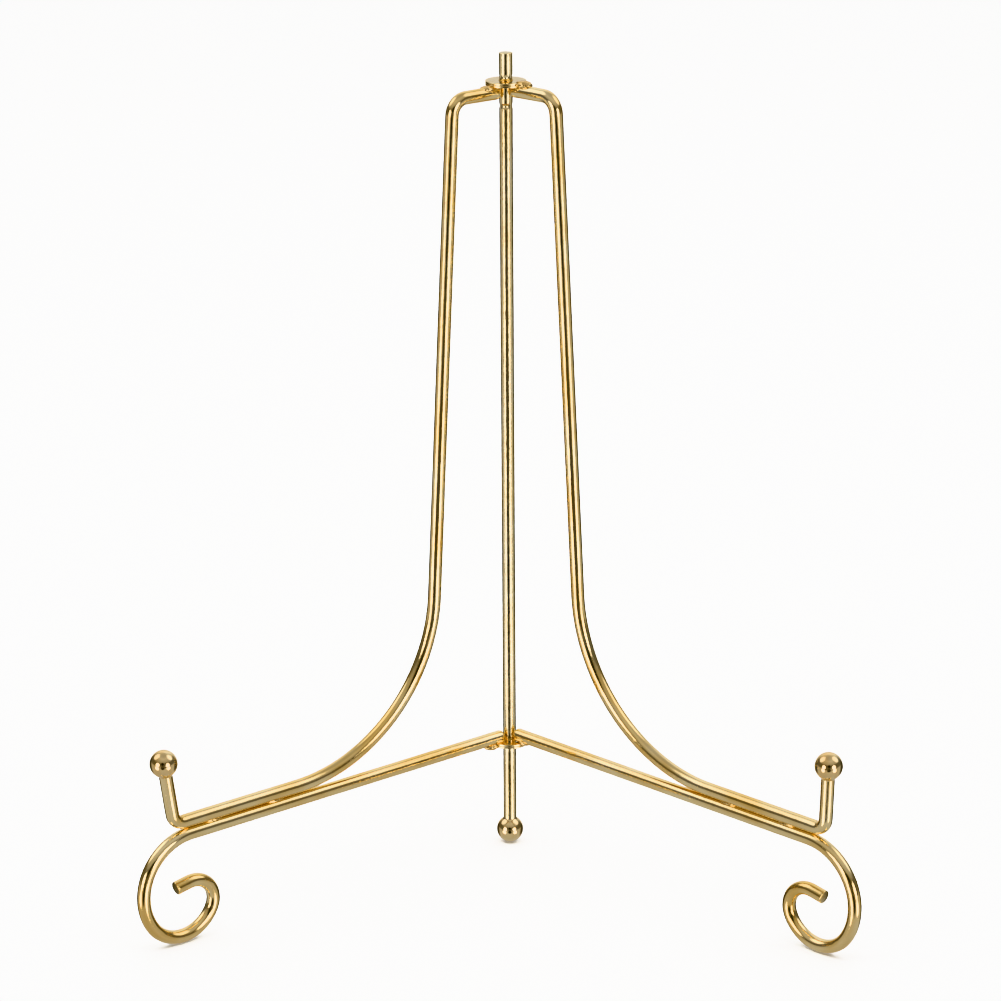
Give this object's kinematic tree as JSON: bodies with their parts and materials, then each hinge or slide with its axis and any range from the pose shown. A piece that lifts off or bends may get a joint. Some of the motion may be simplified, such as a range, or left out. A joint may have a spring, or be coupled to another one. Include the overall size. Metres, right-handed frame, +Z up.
{
  "type": "display easel",
  "caption": "Folding wire easel for plates and pictures: two flat wings with scroll feet and ball-tipped arms turn on a centre rod with a ball foot.",
  "frame": {"origin": "point where the ball foot of the centre rod meets the floor, on the hinge axis", "axes": "+Z up along the centre rod, -Y out of the front towards the viewer, +X to the viewer's right"},
  "size_m": [0.2019, 0.0911, 0.24],
  "materials": {
    "plated_wire": "polished gold-coloured plating on steel wire",
    "plated_rod": "polished gold-coloured plating on steel rod",
    "plated_ball": "polished gold-coloured plating on a steel ball",
    "plated_washer": "polished gold-coloured plating on a stamped washer",
    "braze": "plated over a slightly rough weld"
  },
  "bodies": {
    "post": {"centre_rod": "plated_rod", "foot_ball": "plated_ball"},
    "left_wing": {"left_frame_wire": "plated_wire", "left_base_wire": "plated_wire", "left_tip_ball": "plated_ball", "left_top_washer": "plated_washer", "left_lower_washer": "plated_washer", "left_top_bead": "braze", "left_lower_bead": "braze", "left_inner_arm_weld": "braze", "left_outer_arm_weld": "braze"},
    "right_wing": {"right_frame_wire": "plated_wire", "right_base_wire": "plated_wire", "right_tip_ball": "plated_ball", "right_top_washer": "plated_washer", "right_lower_washer": "plated_washer", "right_top_bead": "braze", "right_lower_bead": "braze", "right_inner_arm_weld": "braze", "right_outer_arm_weld": "braze"}
  },
  "joints": [
    {"name": "left_wing_swing", "type": "hinge", "parent": "post", "child": "left_wing", "pos_m": [0, 0, 0.13], "axis": [0, 0, -1], "range_deg": [0, 40]},
    {"name": "right_wing_swing", "type": "hinge", "parent": "post", "child": "right_wing", "pos_m": [0, 0, 0.13], "axis": [0, 0, 1], "range_deg": [0, 40]}
  ]
}
